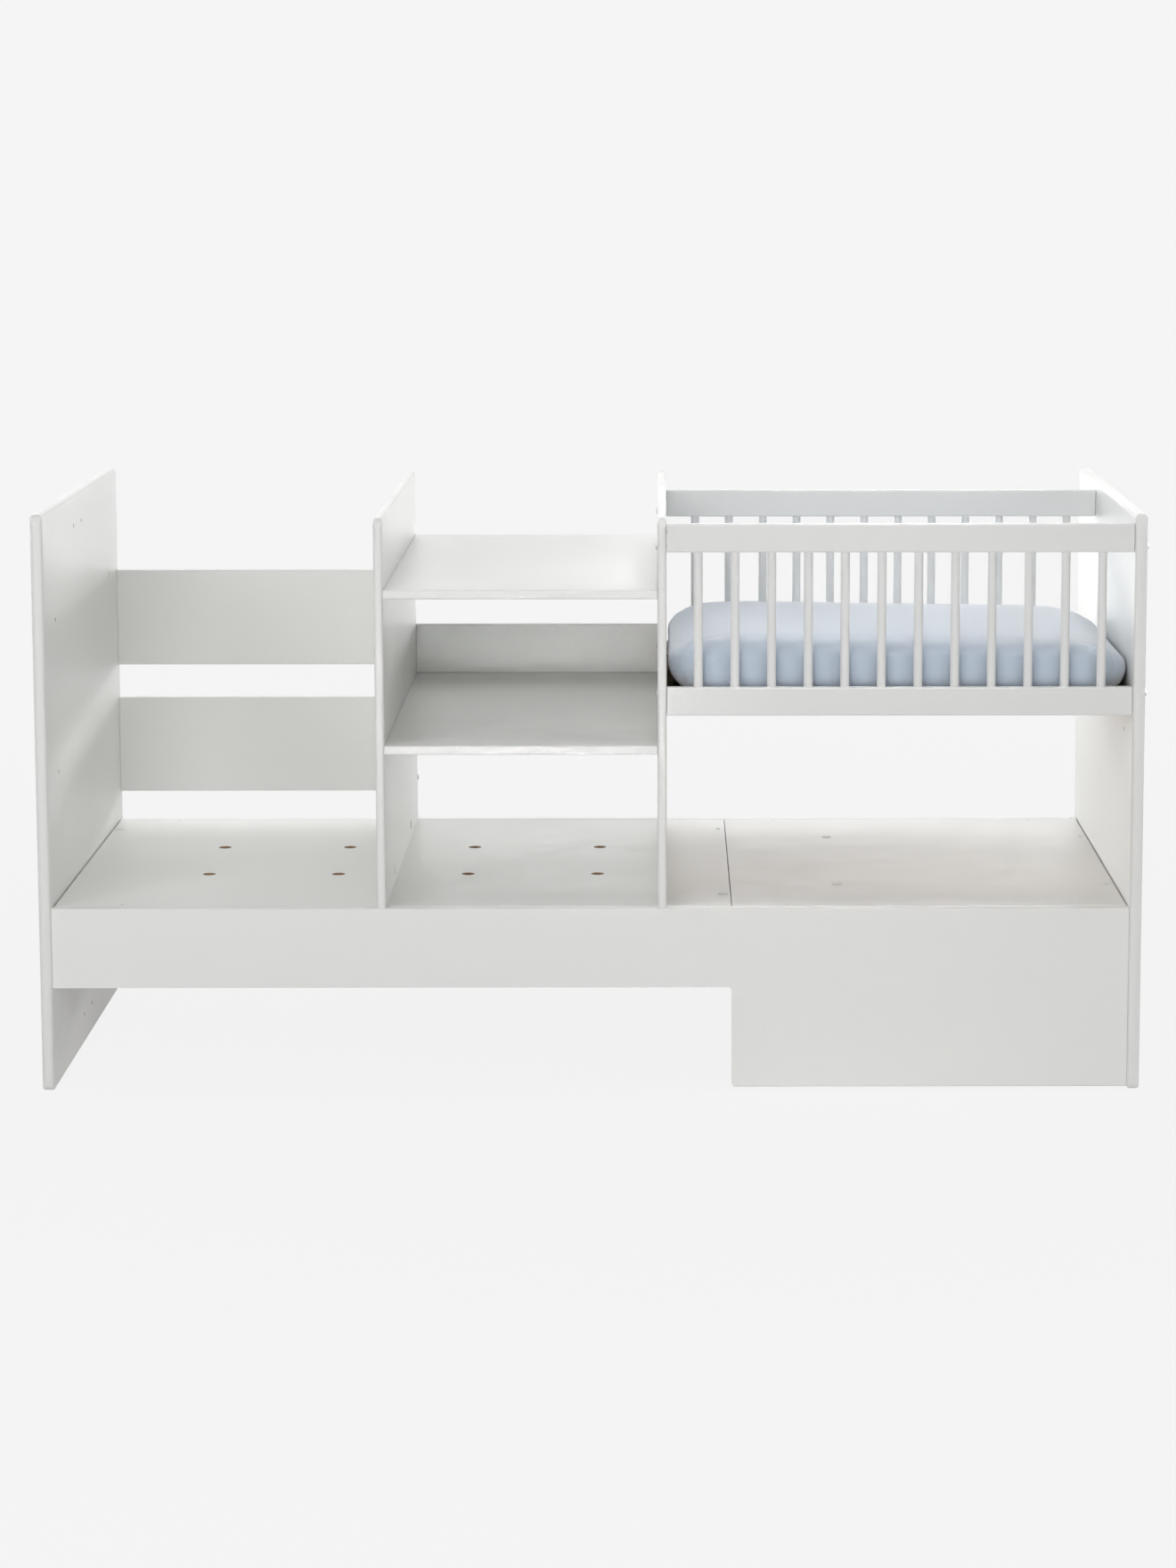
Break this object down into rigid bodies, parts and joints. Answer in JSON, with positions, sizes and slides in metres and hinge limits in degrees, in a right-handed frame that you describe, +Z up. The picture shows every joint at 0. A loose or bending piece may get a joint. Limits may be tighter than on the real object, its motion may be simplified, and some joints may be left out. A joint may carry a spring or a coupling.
{
  "type": "crib with attached changer",
  "caption": "Board-built bed base carrying a raised railed crib with a mattress, an open changer with shelves beside it and an open bay with back slats.",
  "frame": {"origin": "on the floor, under the middle of the bed's length and of the end panels' depth", "axes": "+X along the bed from the open bay towards the crib, +Y from the front to the back, +Z up"},
  "size_m": [1.954, 0.95, 1.028],
  "materials": {
    "white_board": "satin white melamine-faced board",
    "white_lacquer": "satin white lacquer on solid wood",
    "raw_board": "bare fibreboard",
    "beech": "bare planed beech",
    "mattress_sheet": "woven cotton sheet, pale blue",
    "plastic_cap": "matte off-white",
    "zinc": "zinc die casting",
    "steel": "bright zinc-plated steel"
  },
  "bodies": {
    "bed_frame": {"left_end_panel": "white_board", "right_end_panel": "white_board", "front_board": "white_board", "rear_board": "white_board", "base_plate_left": "white_board", "base_plate_right": "white_board", "front_ledger": "beech", "rear_ledger": "beech", "left_end_ledger": "beech", "right_end_ledger": "beech", "seam_batten": "beech", "left_divider_batten": "beech", "right_divider_batten": "beech", "storage_side_panel": "white_board", "divider_left": "white_board", "divider_right": "white_board", "changer_top_shelf": "white_board", "lower_shelf": "white_board", "shelf_back_panel": "white_board", "upper_back_slat": "white_board", "lower_back_slat": "white_board", "crib_front_top_rail": "white_lacquer", "crib_front_bottom_rail": "white_lacquer", "crib_back_top_rail": "white_lacquer", "crib_back_bottom_rail": "white_lacquer", "crib_front_bars": "white_lacquer", "crib_back_bars": "white_lacquer", "crib_floor": "raw_board", "crib_floor_strips": "beech", "crib_bolts_right": "steel", "crib_bolts_left": "steel", "slat_bolts_left": "steel", "slat_bolts_right": "steel", "crib_barrel_nuts": "zinc", "slat_barrel_nuts": "zinc", "crib_dowels": "beech", "slat_dowels": "beech", "board_cam_locks": "zinc", "board_cam_pins": "steel", "shelf_cam_locks": "zinc", "shelf_cam_pins": "steel", "divider_cam_locks": "zinc", "divider_cam_pins": "steel", "divider_cover_caps": "plastic_cap", "plate_screws": "steel", "capped_screws": "steel", "plate_cover_caps": "plastic_cap", "ledger_screws": "steel", "batten_dowels": "beech", "storage_panel_dowels": "beech", "back_panel_screws": "steel", "floor_strip_screws": "steel", "panel_hole_cap": "plastic_cap"},
    "crib_mattress": {"mattress": "mattress_sheet"}
  },
  "joints": [
    {"name": "mattress_lift", "type": "slide", "parent": "bed_frame", "child": "crib_mattress", "axis": [0, 0, 1], "range_m": [0, 0.4]}
  ]
}
